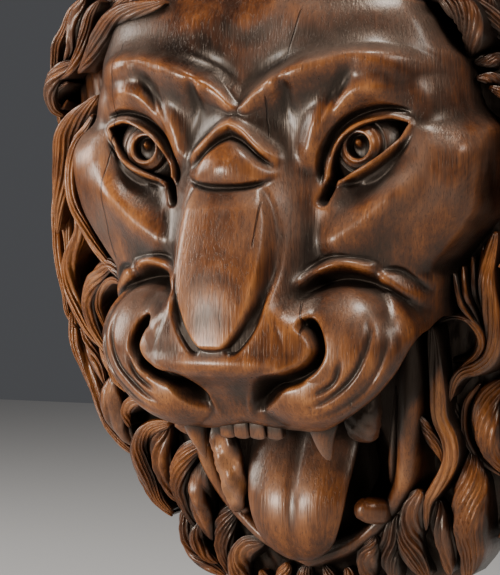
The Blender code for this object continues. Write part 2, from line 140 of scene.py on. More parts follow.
def nearest(a, b, curve):
    """Distance of each point to a curve, and how far along it the nearest place lies."""
    best = np.full(a.shape, np.inf)
    along = np.zeros(a.shape)
    for index, (start, end) in enumerate(zip(curve[:-1], curve[1:])):
        span = end - start
        t = np.clip(((a - start[0]) * span[0] + (b - start[1]) * span[1]) / (span @ span), 0, 1)
        d = np.hypot(a - start[0] - t * span[0], b - start[1] - t * span[1])
        near = d < best
        best[near] = d[near]
        along[near] = (index + t[near]) / (len(curve) - 1)
    return best, along


def stroke(a, b, points, width, rise, ends=(0.2, 0.2)):
    """A ridge, or a groove where rise is negative.

    Across the curve it is the bell exp(-(d / width)^2), and it fades in and out over its ends.
    """
    curve = smooth_curve(points, 8)
    low, high = curve.min(0) - 3 * width, curve.max(0) + 3 * width
    near = (a > low[0]) & (a < high[0]) & (b > low[1]) & (b < high[1])
    d, along = nearest(a[near], b[near], curve)
    fade = soft(along / max(ends[0], 1e-6)) * soft((1 - along) / max(ends[1], 1e-6))
    out = np.zeros(a.shape)
    out[near] = rise * fade * np.exp(-((d / width) ** 2))
    return out


def oval(a, b, centre, radii, turn):
    """Squared distance from the centre of a turned ellipse, 1 on its edge."""
    c, s = math.cos(math.radians(turn)), math.sin(math.radians(turn))
    u = ((a - centre[0]) * c + (b - centre[1]) * s) / radii[0]
    v = (-(a - centre[0]) * s + (b - centre[1]) * c) / radii[1]
    return u * u + v * v


def swell(a, b, centre, radii, rise, turn=0.0):
    """A smooth oval swelling or hollow, (1 - r^2)^2."""
    return rise * np.maximum(1 - oval(a, b, centre, radii, turn), 0) ** 2


def boss(a, b, centre, radii, foot, rise, turn=0.0):
    """The height of a rounded boss whose top is an ellipsoid standing on a foot level."""
    r = oval(a, b, centre, radii, turn)
    return np.where(r < 1, foot + rise * np.sqrt(np.maximum(1 - r, 0)), foot - 200 * (np.sqrt(r) - 1))


def skull(a, b):
    """Broad form of the head: depth on the middle line, rounded off to the sides as a superellipse."""
    depth, width = read(FACE_DEPTH, b), read(FACE_WIDTH, b)
    rounding = np.maximum(1 - np.clip(a / width, 0, 1) ** 3, 0) ** (1 / 3)
    return SIDE_OF_HEAD + (depth - SIDE_OF_HEAD) * rounding


def brow(a, b):
    """Brow masses meeting in a V over the nose, their frown furrows and the eye sockets."""
    ridge = [(-6, 150), (22, 166), (50, 181), (80, 191), (112, 196), (142, 189), (168, 170)]
    h = stroke(a, b, ridge, 15, 9, (0, 0.3))
    h += swell(a, b, (128, 172), (62, 34), 6, -8)
    h += swell(a, b, (166, 158), (26, 24), 7)
    h += swell(a, b, (66, 168), (34, 52), 5, 20)
    h += swell(a, b, (0, 215), (60, 50), -6)
    crest = read([
        (-10, 152), (5, 158), (20, 172), (36, 182), (58, 192), (89, 200), (110, 203), (140, 201), (170, 190),
    ], a)
    under = crest - b
    h += 7 * soft((under + 5) / 11) * soft((46 - under) / 40) * soft((176 - a) / 40) * soft((a + 12) / 24)
    h += stroke(a, b, [(-6, 165), (16, 182), (34, 192), (58, 201), (89, 209)], 7, -4, (0, 0.5))
    h += stroke(a, b, [(24, 190), (32, 178), (40, 166), (46, 150)], 7, 3, (0.5, 0.4))
    h += stroke(a, b, [(50, 180), (44, 166), (42, 142)], 6, -6, (0.5, 0.5))
    h += stroke(a, b, [(120, 202), (105, 190), (95, 174), (85, 154), (77, 136), (66, 116)], 7, -6, (0.6, 0.3))
    h += stroke(a, b, [(96, 182), (87, 160), (79, 141), (70, 122)], 2.4, 1.8, (0.5, 0.4))
    h += swell(a, b, (108, 110), (66, 46), -15, 25)
    h += stroke(a, b, [(62, 92), (66, 116), (77, 140), (96, 158), (122, 166), (150, 158)], 11, 9)
    return h


def cheek(a, b):
    """Cheekbone running up and out from beside the nose, with a shallow trough above it."""
    h = stroke(a, b, [(62, 18), (90, 38), (118, 56), (145, 80), (165, 108)], 17, 11, (0.25, 0.35))
    return h + stroke(a, b, [(78, 62), (105, 76), (138, 102)], 12, -3, (0.3, 0.3))


def add_nose(a, b, h, side):
    """Nose barrel, the arch and swelling on its bridge, the raised shield, the pad and comma nostrils."""
    off = np.abs(a * side + NOSE_SHIFT)
    fall = soft((read(NOSE_WIDTH, b) + 16 - off) / 44)
    depth = read(NOSE_DEPTH, b) - 9 * np.minimum(off / 58, 1.2) ** 2
    h = h + np.maximum(depth - h, 0) * fall * soft((205 - b) / 60)
    h += stroke(off, b, [(-3, 140), (13, 133), (31, 118), (48, 102)], 4.6, 7, (0, 0.3))
    h += stroke(off, b, [(-3, 128), (12, 122), (29, 108), (44, 96)], 3.2, -6, (0, 0.35))
    h += swell(off, b, (0, 104), (54, 30), 12)
    h += stroke(off, b, [(-8, 82), (18, 83), (34, 87), (48, 94)], 2.8, -5.5, (0, 0.6))
    h += 6 * soft((read(SHIELD_WIDTH, b) - off + 2) / 7) * soft((b + 60) / 6) * soft((88 - b) / 26)
    rounding = np.clip((off - 12) / 40, 0, 1) ** 2 * soft((read(SHIELD_WIDTH, b) + 6 - off) / 8)
    h -= 3 * rounding * (b > -59) * (b < 90)
    rim = [(12, -62), (22, -54), (32, -41), (38, -28), (43, -12), (48, 14), (49, 40), (47, 58), (42, 74)]
    h += stroke(off, b, rim, 4, -9, (0.12, 0.75))
    low = read([(-10, -77), (0, -77), (16, -75), (32, -70), (53, -63), (64, -60), (78, -56), (100, -50)], off)
    pad = soft((82 - off) / 9) * soft((b - low + 8) / 13) * soft((-18 - b) / 26)
    h += np.maximum(250 + 8 * soft((60 - off) / 60) - 8 * soft((off - 60) / 22) - h, 0) * pad
    edge = [(76, -66), (60, -75), (44, -79), (30, -87), (21, -98), (17, -110), (14, -120)]
    h += swell(off, b, (38, -93), (31, 15), -15, 38)
    h += stroke(off, b, edge, 3, 4, (0.3, 0.3))
    nostril = [
        (70, -35), (80, -36), (87, -45), (90, -58), (84, -70), (71, -79), (54, -85), (40, -88), (30, -96),
        (24, -106),
    ]
    return h + stroke(off, b, nostril, 4.3, -23, (0.1, 0.35))


def add_muzzle(a, b, h):
    """Whisker pads with their grooves, and the fold of skin round them."""
    h = soft_max(h, boss(a, b, (90, -60), (68, 66), 176, 62, 8), 8)
    h = soft_max(h, boss(a, b, (62, -92), (72, 42), 186, 50, -8), 10)
    h += stroke(a, b, [(58, -8), (63, 4), (75, 12), (97, 17), (113, 13), (124, 5)], 6, 10, (0.15, 0.3))
    h += stroke(a, b, [(117, 9), (128, 4), (139, -5), (150, -16), (159, -40), (159, -72)], 7.5, 8, (0.2, 0.6))
    h += stroke(a, b, [(56, 2), (65, 16), (83, 23), (104, 22), (124, 19)], 2.2, -2.6)
    h += stroke(a, b, [(122, 13), (138, 11), (149, 1), (157, -11)], 2.4, -4)
    crease = [
        (57, -22), (61, -10), (71, -2), (90, 3), (112, -2), (127, -13), (137, -30), (143, -50), (141, -80),
    ]
    h += stroke(a, b, crease, 4.8, -12, (0.15, 0.6))
    for groove in (
        [(106, -60), (96, -84), (74, -98)],
        [(120, -20), (126, -46), (115, -76), (90, -99), (64, -110)],
        [(131, -26), (138, -52), (126, -84), (99, -107), (72, -118)],
        [(141, -36), (147, -58), (136, -86), (110, -110)],
    ):
        h += stroke(a, b, groove, 2.8, -3.6, (0.35, 0.35))
    h += stroke(a, b, [(0, -100), (0, -118)], 4, -2, (0.4, 0.5))
    return h


def add_eye(a, b, h):
    """The almond opening of the eye, its thick upper lid, lower lid rim and deep tear duct."""
    upper = [(80, 88), (81, 99), (86, 113), (95, 125), (108, 134), (122, 139), (134, 140), (146, 137)]
    upper = smooth_curve(upper, 8)
    lower = smooth_curve([(146, 137), (138, 124), (127, 112), (112, 102), (97, 95), (87, 91), (80, 88)], 8)
    near_eye = (a > 40) & (a < 190) & (b > 50) & (b < 185)
    x, z, skin = a[near_eye], b[near_eye], h[near_eye]
    away = np.minimum(nearest(x, z, upper)[0], nearest(x, z, lower)[0])
    top = np.interp(x, upper[:, 0], upper[:, 1])
    bottom = np.interp(x, lower[::-1, 0], lower[::-1, 1])
    inside = (z < top) & (z > bottom) & (x > 80) & (x < 146)
    away = np.where(inside, -away, away)
    ball = EYE[2] + np.sqrt(np.maximum(EYE_RADIUS**2 - (x - EYE[0]) ** 2 - (z - EYE[1]) ** 2, 0))
    lid = soft((away + 0.8) / 2)
    lid_top = soft_max(skin, ball + 8 * np.exp(-((np.maximum(away, 0) / 15) ** 2)), 5)
    lid_top += 3 * np.exp(-(((away - 3.4) / 2.4) ** 2))
    near = soft((27 - away) / 14)
    socket = np.minimum(ball - 9, skin + 11)
    eye = (1 - lid) * socket + lid * (skin * (1 - near) + lid_top * near)
    h = h.copy()
    h[near_eye] = np.where(away < 28, eye, skin)
    crease = [(71, 82), (70, 98), (75, 114), (84, 130), (98, 142), (115, 149), (133, 151), (152, 147)]
    h += stroke(a, b, crease, 2.2, -8, (0.15, 0.15))
    h += stroke(a, b, [(82, 92), (77, 80), (71, 65)], 3.4, -16, (0.2, 0.25))
    h += stroke(a, b, [(152, 130), (140, 113), (122, 98), (104, 89), (88, 82)], 2.6, -3)
    return h


def head_height(a, b, side):
    """Height of one half of the head, rolled over at the lip's edge and where the hair begins."""
    h = skull(a, b) + brow(a, b) + cheek(a, b)
    h = add_muzzle(a, b, h)
    h = add_nose(a, b, h, side)
    h = add_eye(a, b, h)
    over_lip = np.clip(b - read(LIP_EDGE, a), 0, LIP_ROUND) / LIP_ROUND
    h -= LIP_ROUND * (1 - np.sqrt(1 - (1 - over_lip) ** 2))
    to_hair = np.clip(read(HAIRLINE, b) - a, 0, 14) / 14
    return h - 14 * (1 - np.sqrt(1 - (1 - to_hair) ** 2))


def spread(density, count):
    """Places from 0 to 1, closer together where the density, given as (place, density) pairs, is high."""
    fine = np.linspace(0, 1, 2001)
    total = np.cumsum(read(density, fine))
    return np.interp(np.linspace(0, 1, count), (total - total[0]) / (total[-1] - total[0]), fine)


def across(u, width):
    """How far out a column lies: columns up to the glue face stay upright, the rest fill the width."""
    glue_share = GLUE_FACE / HEAD_REACH
    beyond = GLUE_FACE + (width - GLUE_FACE) * (u - glue_share) / (1 - glue_share)
    return np.where(u < glue_share, HEAD_REACH * u, beyond)


def half_head(side, rows=430, under_rows=44, skirt=9):
    """Grid of (a, b, h), rows from the back of the palate round the lip and up to the crown.

    A row stands at a share v of the way from the lip's edge to the crown, and a column at a share u
    of the way from the middle line to the hair. Both ends and the outer side are carried back to the
    head's back plane. Side is 1 for the viewer's right half and -1 for the left.
    """
    glue_share = GLUE_FACE / HEAD_REACH
    outer = spread([(0, 1.3), (0.2, 1.4), (0.5, 1.3), (0.8, 1.2), (1, 1.8)], SIDE_COLUMNS)
    outer = glue_share + (1 - glue_share) * outer[1:]
    u = np.concatenate([np.linspace(0, glue_share, PLANK_COLUMNS), outer])[None]
    v = spread([
        (0, 2.2), (0.08, 1.5), (0.3, 1.2), (0.5, 0.9), (0.58, 1.5), (0.68, 1.4), (0.8, 0.8), (1, 0.8),
    ], rows)[:, None]
    lip_b = read(LIP_EDGE, HEAD_REACH * u)
    crown_b = 271 - 28 * u**2
    b = lip_b + (crown_b - lip_b) * v
    a = across(u, read(HAIRLINE, b))
    face = np.stack([a, b, head_height(a, b, side)], -1)

    w = np.linspace(0, 1, under_rows + 1)[1:, None]
    edge = face[:1]
    vault = 14 * soft(w / 0.12) + 26 * soft((w - 0.15) / 0.5)
    under = np.stack([
        across(u, HEAD_REACH * (1 - 0.28 * w)),
        edge[..., 1] + vault,
        edge[..., 2] + (HEAD_BACK - edge[..., 2]) * w,
    ], -1)
    k = np.linspace(0, 1, 8)[1:, None]
    crown = np.stack([
        face[-1:, :, 0] + 0 * k,
        face[-1:, :, 1] + 6 * np.sin(math.pi * k),
        face[-1:, :, 2] + (HEAD_BACK - face[-1:, :, 2]) * k,
    ], -1)
    half = np.vstack([under[::-1], face, crown])
    k = np.linspace(0, 1, skirt + 1)[None, 1:]
    brink = half[:, -1:]
    skirt_points = np.stack([
        brink[..., 0] + 5 * np.sin(0.5 * math.pi * k),
        brink[..., 1] + 0 * k,
        brink[..., 2] + (HEAD_BACK - brink[..., 2]) * k,
    ], -1)
    return np.concatenate([half, skirt_points], axis=1) * [side, 1, 1]


def to_metres(points):
    """From the carver's frame in millimetres to the row frame in metres."""
    return np.stack([points[..., 0], -points[..., 2], points[..., 1]], -1) / 1000


def carved_piece(name, points, faces, normals=None):
    """An object from points in the carver's frame and faces, smooth, riding on the mask's body."""
    mesh = bpy.data.meshes.new(name)
    mesh.from_pydata(to_metres(points.reshape(-1, 3)), [], faces)
    mesh.shade_smooth()
    if normals is not None:
        mesh.normals_split_custom_set_from_vertices(normals)
    piece = bpy.data.objects.new(name, mesh)
    bpy.context.scene.collection.objects.link(piece)
    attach(piece, "root")
    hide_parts("lion_mask")
    return piece


def grid_faces(rows, columns):
    """Four-sided faces between neighbouring rows and columns of a grid."""
    first = (np.arange(rows - 1)[:, None] * columns + np.arange(columns - 1)).reshape(-1)
    return np.stack([first, first + 1, first + 1 + columns, first + columns], -1)


head = np.concatenate([half_head(-1)[:, :0:-1], half_head(1)], axis=1)
row_count, column_count = head.shape[:2]
along_rows, along_columns = np.gradient(head, axis=1), np.gradient(head, axis=0)
head_normals = np.cross(along_rows, along_columns)
head_normals /= np.linalg.norm(head_normals, axis=-1, keepdims=True) + 1e-12
middle = column_count // 2
seams = [0, middle - PLANK_COLUMNS + 1, middle + PLANK_COLUMNS - 1, column_count - 1]
for plank, (first, last) in enumerate(zip(seams[:-1], seams[1:])):
    columns = last - first + 1
    index = np.arange(row_count * columns).reshape(row_count, columns)
    faces = grid_faces(row_count, columns).tolist()
    left_side, right_side = index[::-1, 0].tolist(), index[:, -1].tolist()
    if first > 0:
        faces.append(left_side)
        left_side = [left_side[0], left_side[-1]]
    if last < column_count - 1:
        faces.append(right_side)
        right_side = [right_side[0], right_side[-1]]
    around = index[0, :-1].tolist() + right_side[:-1] + index[-1, :0:-1].tolist() + left_side[:-1]
    faces.append(around[::-1])
    carved_piece(
        ["head_left", "head_middle", "head_right"][plank],
        head[:, first : last + 1],
        faces,
        to_metres(head_normals[:, first : last + 1].reshape(-1, 3)) * 1000,
    )


# The eyes. Each ball lies inside its lids, with a ring for the iris and a deep pupil that holds a
# small bead.
def eye_points(rows=64, columns=96):
    """A dome of rings about the line of sight. Its profile dips at the iris ring and at the pupil."""
    turn = np.linspace(0, 2 * math.pi, columns, endpoint=False)[None, :]
    reach = spread([(0, 1), (0.2, 1.5), (0.5, 1.6), (0.7, 1.2), (1, 0.8)], rows)[:, None] * 38
    x, z = EYE[0] - 1.5 + reach * np.cos(turn), EYE[1] + 2.5 + reach * np.sin(turn)
    h = EYE[2] + np.sqrt(np.maximum(EYE_RADIUS**2 - (x - EYE[0]) ** 2 - (z - EYE[1]) ** 2, 20))
    ring = np.hypot(x - EYE[0] + 1.5, z - EYE[1] - 2.5)
    h += 1.8 * soft((21 - ring) / 2) - 1.6 * np.exp(-((ring - 22) ** 2) / 1.6)
    h += 1.2 * np.exp(-((ring - 13.5) ** 2) / 3) - 9 * soft((11.6 - ring) / 2)
    h += 8 * np.exp(-((x - EYE[0] + 2.5) ** 2 + (z - EYE[1] - 6) ** 2) / 15)
    return np.stack([x, z, h], -1)


def ring_faces(rows, columns):
    """Faces between neighbouring closed rings."""
    ring = np.arange(columns)
    first = np.arange(rows - 1)[:, None] * columns
    here, after = first + ring, first + (ring + 1) % columns
    return np.stack([here, after, after + columns, here + columns], -1).reshape(-1, 4)


for side, name in ((1, "eye_right"), (-1, "eye_left")):
    dome = eye_points()
    rows, columns = dome.shape[:2]
    back_ring = dome[-1:] - [0, 0, 14]
    dome = np.concatenate([dome, back_ring]) * [side, 1, 1]
    faces = ring_faces(rows + 1, columns)[:, ::-1].tolist()
    faces += [list(range(rows * columns, (rows + 1) * columns))[::-1], list(range(columns))]
    if side < 0:
        faces = [face[::-1] for face in faces]
    carved_piece(name, dome, faces)


# The block: the flat back and the bed of wood that the mane is cut from. It climbs from the outline
# towards the head, and sinks to the floor of the open mouth, with a mound left to carry the tongue.
OUTLINE = [
    (-325, 26), (-312, 70), (-295, 106), (-278, 130), (-265, 144), (-248, 156), (-220, 184), (-198, 200),
    (-179, 213), (-156, 228), (-113, 246), (-68, 266), (-39, 276), (3, 285), (54, 290), (134, 292),
    (200, 290), (226, 281), (256, 254), (280, 214), (300, 166), (312, 126), (328, 54),
]
MOUTH_WIDTH = [
    (-290, 0), (-262, 12), (-241, 36), (-222, 56), (-203, 74), (-189, 88), (-150, 98), (-110, 108),
    (-40, 112),
]
MOUTH_FLOOR = 42


def mane_bed(a, b):
    """Height of the bed: a rounded edge, then a slope up to a level that differs up the mask."""
    half = smooth_curve([(width, up) for up, width in OUTLINE], 4)
    half = np.vstack([[0, -332], half, [0, 338]])
    edge = nearest(a, b, half)[0]
    widest = np.interp(b, half[:, 1], half[:, 0])
    inset = np.where((a < widest) & (b > -332) & (b < 338), edge, 0)
    steep = read([(-330, 0.45), (-200, 0.5), (-100, 0.5), (0, 0.6), (100, 0.85), (200, 1), (335, 1.3)], b)
    bed = 30 * np.sqrt(np.clip(inset / 10, 0, 1)) + steep * np.maximum(inset - 10, 0)
    most = read([(-330, 76), (-200, 76), (-100, 78), (0, 92), (60, 112), (100, 126), (335, 140)], b)
    return np.minimum(bed, most)


def block_points(rows=70, columns=340):
    """Rings from the outline in to the mouth, closer together at the rounded edge.

    The bed carries low strands, the absolute value of a sine across the mask that sways up it.
    """
    half = smooth_curve([(width, up) for up, width in OUTLINE], 12)
    half = np.vstack([[0, -331], half, [0, 337]])
    loop = np.vstack([half, half[-2:0:-1] * [-1, 1]])
    loop = np.vstack([loop, loop[:1]])
    length = np.concatenate([[0], np.cumsum(np.hypot(*np.diff(loop, axis=0).T))])
    place = np.linspace(0, length[-1], columns, endpoint=False)
    edge = np.stack([np.interp(place, length, loop[:, 0]), np.interp(place, length, loop[:, 1])], -1)
    s = (np.linspace(0, 1, rows) ** 1.6)[:, None, None]
    flat = edge + (np.array([0, -190.0]) - edge) * s * 0.995
    a, b = np.abs(flat[..., 0]), flat[..., 1]
    h = mane_bed(a, b)
    strands = np.abs(np.sin((flat[..., 0] + 14 * np.sin(b / 37) + 0.25 * b) / 5.5))
    h = h + 5 * strands * soft((h - 30) / 20) - 4 * soft((h - 30) / 20)
    in_mouth = soft((read(MOUTH_WIDTH, b) + 6 - a) / 14) * (b < -30) * (b > -290)
    floor = np.minimum(MOUTH_FLOOR, h) + swell(a, b, (0, -200), (50, 84), 56)
    h = h + (floor - h) * in_mouth
    points = np.stack([flat[..., 0], b, h], -1)
    return np.concatenate([points[:1] * [1, 1, 0], points])


block = block_points()
rows, columns = block.shape[:2]
faces = ring_faces(rows, columns).tolist()
faces += [list(range(columns))[::-1], list(range((rows - 1) * columns, rows * columns))]
block_piece = carved_piece("block", block, faces)
# The back is flat, so its one large face is shaded flat
block_piece.data.polygons[len(faces) - 2].use_smooth = False


# The lower jaw. A rounded lip runs from both corners of the mouth round under the tongue, and its
# inner side falls to the floor of the mouth. A fold of skin outside it carries the beard.
JAW_LIP = [
    (112, -34, 100), (113, -66, 98), (111, -105, 95), (107, -138, 89), (102, -168, 81), (94, -191, 74),
    (82, -210, 70), (65, -228, 69), (41, -246, 70), (0, -262, 72),
]
JAW_PROFILE = [
    (-50, -36), (-40, -27), (-29, -20), (-19, -12), (-12, 0), (-8.5, 10), (-4, 15.5), (2, 17), (7, 13.5),
    (10, 6), (11.5, -5), (17, -15), (26, -22), (33, -34), (35, -60), (-50, -60),
]


def evenly(path, count):
    """The path with its points re-spaced evenly along its length."""
    path = np.asarray(path, float)
    length = np.concatenate([[0], np.cumsum(np.linalg.norm(np.diff(path, axis=0), axis=1))])
    place = np.linspace(0, length[-1], count)
    return np.stack([np.interp(place, length, path[:, i]) for i in range(path.shape[1])], -1)


def carry(path, profile, outward):
    """A profile of (offset, height) points set at each point of the path, offset outward.

    The profile may be one for the whole path or one for each of its points.
    """
    profile = np.broadcast_to(profile, (len(path),) + np.shape(profile)[-2:])
    up = np.array([0, 0, 1.0])
    return path[:, None] + profile[..., :1] * outward[:, None] + profile[..., 1:] * up


def tube_faces(rows, columns):
    """Faces of a closed tube whose two ends are filled."""
    faces = ring_faces(rows, columns).tolist()
    return faces + [list(range(columns))[::-1], list(range((rows - 1) * columns, rows * columns))]


half = smooth_curve(JAW_LIP, 12)
path = evenly(np.vstack([half, half[-2::-1] * [-1, 1, 1]]), 260)
ahead = np.gradient(path, axis=0)
outward = np.stack([-ahead[:, 1], ahead[:, 0], 0 * ahead[:, 0]], -1)
outward /= np.linalg.norm(outward, axis=1)[:, None]
share = np.abs(np.linspace(-1, 1, len(path)))[:, None]
ring = np.tile(smooth_curve(JAW_PROFILE, 5)[None], (len(path), 1, 1))
ring[..., 0] *= 0.75 + 0.5 * soft(share)
ring[..., 1] = np.where(ring[..., 1] > -5, ring[..., 1] * (0.8 + 0.3 * soft(share)), ring[..., 1])
jaw = carry(path, ring, outward)
jaw[..., 2] = np.maximum(jaw[..., 2], 4)
carved_piece("lower_jaw", jaw, tube_faces(*jaw.shape[:2]))


# The tongue comes over the lower teeth, humps forward with a groove down its middle and hangs to a
# rounded tip over the lip.
TONGUE_SPINE = [
    (-150, 36), (-140, 62), (-146, 86), (-172, 101), (-200, 110), (-228, 110), (-247, 103), (-257, 94),
]
TONGUE_HALF_WIDTH = [
    (0, 50), (0.3, 54), (0.48, 53), (0.58, 51), (0.71, 47.5), (0.83, 41), (0.91, 33), (0.965, 22), (1, 8),
]


def tongue_points(rows=120, columns=88):
    """An oval section carried along the spine. Its upper half is pressed in by the bell of the groove,
    and raised by a broader bell on each side of it.
    """
    spine = evenly(smooth_curve(TONGUE_SPINE, 12), rows)
    ahead = np.gradient(spine, axis=0)
    ahead /= np.linalg.norm(ahead, axis=1)[:, None]
    out = np.stack([-ahead[:, 1], ahead[:, 0]], -1)
    t = np.linspace(0, 1, rows)[:, None]
    half = read(TONGUE_HALF_WIDTH, t)
    turn = np.linspace(0, 2 * math.pi, columns, endpoint=False)[None, :]
    x = np.sign(np.cos(turn)) * np.abs(np.cos(turn)) ** 0.9 * half
    thick = 11 * np.sqrt(half / 55)
    lift = np.sin(turn) * thick
    top = soft(np.sin(turn) * 2)
    lift = lift - top * 2.2 * np.exp(-((x / 4.5) ** 2)) * soft((0.9 - t) / 0.3)
    lift = lift + top * 1.8 * np.exp(-(((np.abs(x) - 0.45 * half) / (0.42 * half + 1)) ** 2))
    b = spine[:, :1] - out[:, :1] * lift
    h = spine[:, 1:] - out[:, 1:] * lift
    return np.stack([x + 2, b, h], -1)


tongue = tongue_points()
carved_piece("tongue", tongue, tube_faces(*tongue.shape[:2]))


# The teeth: four broad incisors and two fangs under the upper lip, a molar at the back on each side
# and two blunt canines on the lower lip. The gums are rough.
def tooth_points(path, sizes, square=1.0, columns=40):
    """A superellipse carried along a path and rounded at the tip. Square 1 is a circle, less is squarer."""
    path = evenly(smooth_curve(path, 8), 26)
    t = np.linspace(0, 1, len(path))
    places = np.linspace(0, 1, len(sizes))
    size = np.array([np.interp(t, places, column) for column in np.transpose(sizes)]).T
    ahead = np.gradient(path, axis=0)
    ahead /= np.linalg.norm(ahead, axis=1)[:, None]
    aside = np.cross(ahead, [0, 0, 1.0])
    aside /= np.linalg.norm(aside, axis=1)[:, None]
    out = np.cross(aside, ahead)
    turn = np.linspace(0, 2 * math.pi, columns, endpoint=False)[None, :, None]
    c, s = np.cos(turn), np.sin(turn)
    c, s = np.sign(c) * np.abs(c) ** square, np.sign(s) * np.abs(s) ** square
    end = np.sqrt(1 - np.clip((t - 0.86) / 0.14, 0, 0.96) ** 2)[:, None, None]
    across, thick = size[:, None, :1], size[:, None, 1:]
    return path[:, None] + end * (c * aside[:, None] * across + s * out[:, None] * thick)


def joined_piece(name, tubes):
    """Closed tubes as one object."""
    points, faces, start = [], [], 0
    for tube in tubes:
        points.append(tube.reshape(-1, 3))
        faces += [[start + corner for corner in face] for face in tube_faces(*tube.shape[:2])]
        start += len(points[-1])
    return carved_piece(name, np.concatenate(points), faces)


upper = []
for middle in (-23.4, -7.8, 7.8, 23.4):
    stand = 197 - 0.006 * middle * middle
    root, tip = (middle, -108, stand), (middle, -139.5, stand - 1)
    upper.append(tooth_points([root, (middle, -125, stand + 2), tip], [(7.8, 6), (7.7, 5.5)], 0.4))
right_fang = [(67, -110, 192), (67, -131, 190), (68, -147, 186), (69, -157, 180)]
left_fang = [(-61, -110, 192), (-60, -131, 190), (-57, -147, 186), (-55, -161, 180)]
upper.append(tooth_points(right_fang, [(16, 12), (13.5, 11), (8, 8), (2.6, 2.6)]))
upper.append(tooth_points(left_fang, [(13, 12), (11, 10), (6.5, 7), (1.6, 1.6)]))
for side in (-1, 1):
    molar = [(92 * side, -96, 150), (90 * side, -114, 154), (87 * side, -127, 150), (85 * side, -138, 138)]
    molar = tooth_points(molar, [(11, 11), (15, 14), (16, 14), (12, 10)], 0.8)
    molar[..., 2] += (1.6 * np.sin(0.42 * molar[..., 1]) * np.sin(0.4 * molar[..., 0])
                      + 0.5 * np.sin(1.1 * molar[..., 1]))
    upper.append(molar)
joined_piece("upper_teeth", upper)
right_canine = [(77, -213, 70), (72, -212, 84), (65, -210, 95), (57, -207, 102)]
left_canine = [(-70, -223, 66), (-67, -219, 78), (-63, -216, 87)]
joined_piece("lower_teeth", [
    tooth_points(right_canine, [(11, 11), (12.5, 12), (12, 11.5), (8, 7)], 0.9),
    tooth_points(left_canine, [(6, 6), (5.5, 5.5), (4, 4)]),
])
left_gum = tooth_points(
    [(-76, -132, 112), (-72, -156, 109), (-69, -182, 103), (-68, -204, 96), (-71, -220, 88)],
    [(10, 7), (15, 7), (15, 7), (12, 6), (8, 5)])
sideways, upright = left_gum[..., 0], left_gum[..., 1]
knobs = np.sin(0.23 * upright - 0.2 * sideways) + np.sin(0.15 * upright + 0.3 * sideways)
left_gum[..., 2] += 1.5 * knobs + 0.7 * np.sin(0.93 * upright + 0.3 * sideways)
right_gum = tooth_points(
    [(93, -100, 66), (92, -130, 70), (87, -160, 66), (80, -192, 58)], [(7, 22), (7, 24), (7, 22), (5, 12)])
joined_piece("gums", [left_gum, right_gum])


# The mane. Every lock is a ribbon of wood cut with a gouge into strands that drift across it as it
# bends, rooted in the bed of the block. A row gives a lock's middle line, half its width and its
# strands. The outer locks are alike on both sides; nearer the face each side has its own.
OUTER_LOCKS = [
    ([(203, 261, 115), (220, 249, 105), (231, 230, 98), (241, 212, 92), (254, 198, 86),
      (271, 189, 80)], 6.5, 3),
    ([(229, 267, 100), (243, 251, 92), (250, 236, 88), (255, 219, 84), (264, 206, 80)], 7, 3),
    ([(232, 274, 76), (258, 258, 72), (271, 240, 66), (283, 226, 62), (290, 212, 56), (294, 197, 52),
      (293, 179, 48), (294, 160, 44), (290, 134, 42)], 6, 3),
    ([(245, 205, 86), (264, 199, 84), (278, 189, 80), (286, 174, 72), (284, 160, 66),
      (277, 154, 60)], 8, 4),
    ([(262, 187, 76), (277, 181, 72), (283, 170, 66), (279, 163, 60), (273, 171, 58)], 4, 2),
    ([(197, 170, 128), (217, 159, 118), (238, 148, 106), (255, 134, 96), (263, 113, 88), (268, 90, 82),
      (274, 66, 76), (281, 39, 66)], 10, 6),
    ([(286, 128, 46), (288, 104, 52), (290, 78, 54), (292, 54, 54), (290, 27, 54), (286, 3, 54),
      (282, -19, 52), (279, -39, 52), (266, -54, 56)], 5.5, 3),
    ([(242, 86, 98), (239, 61, 96), (239, 41, 94), (251, 22, 88), (259, 6, 82), (259, -14, 78),
      (251, -33, 78), (239, -52, 80), (220, -71, 84)], 8, 4),
    ([(262, 150, 56), (270, 124, 62), (274, 96, 62), (278, 66, 58), (276, 36, 56), (274, 8, 58)], 8, 4),
    ([(272, -38, 54), (269, -68, 52), (258, -91, 50), (248, -113, 48), (240, -137, 46), (231, -156, 42),
      (216, -172, 40), (204, -179, 38)], 8.5, 4),
    ([(252, -51, 68), (243, -72, 66), (233, -92, 66), (226, -111, 64)], 7, 3),
    ([(206, -168, 46), (197, -198, 42), (187, -220, 38), (170, -237, 34)], 7, 3),
]
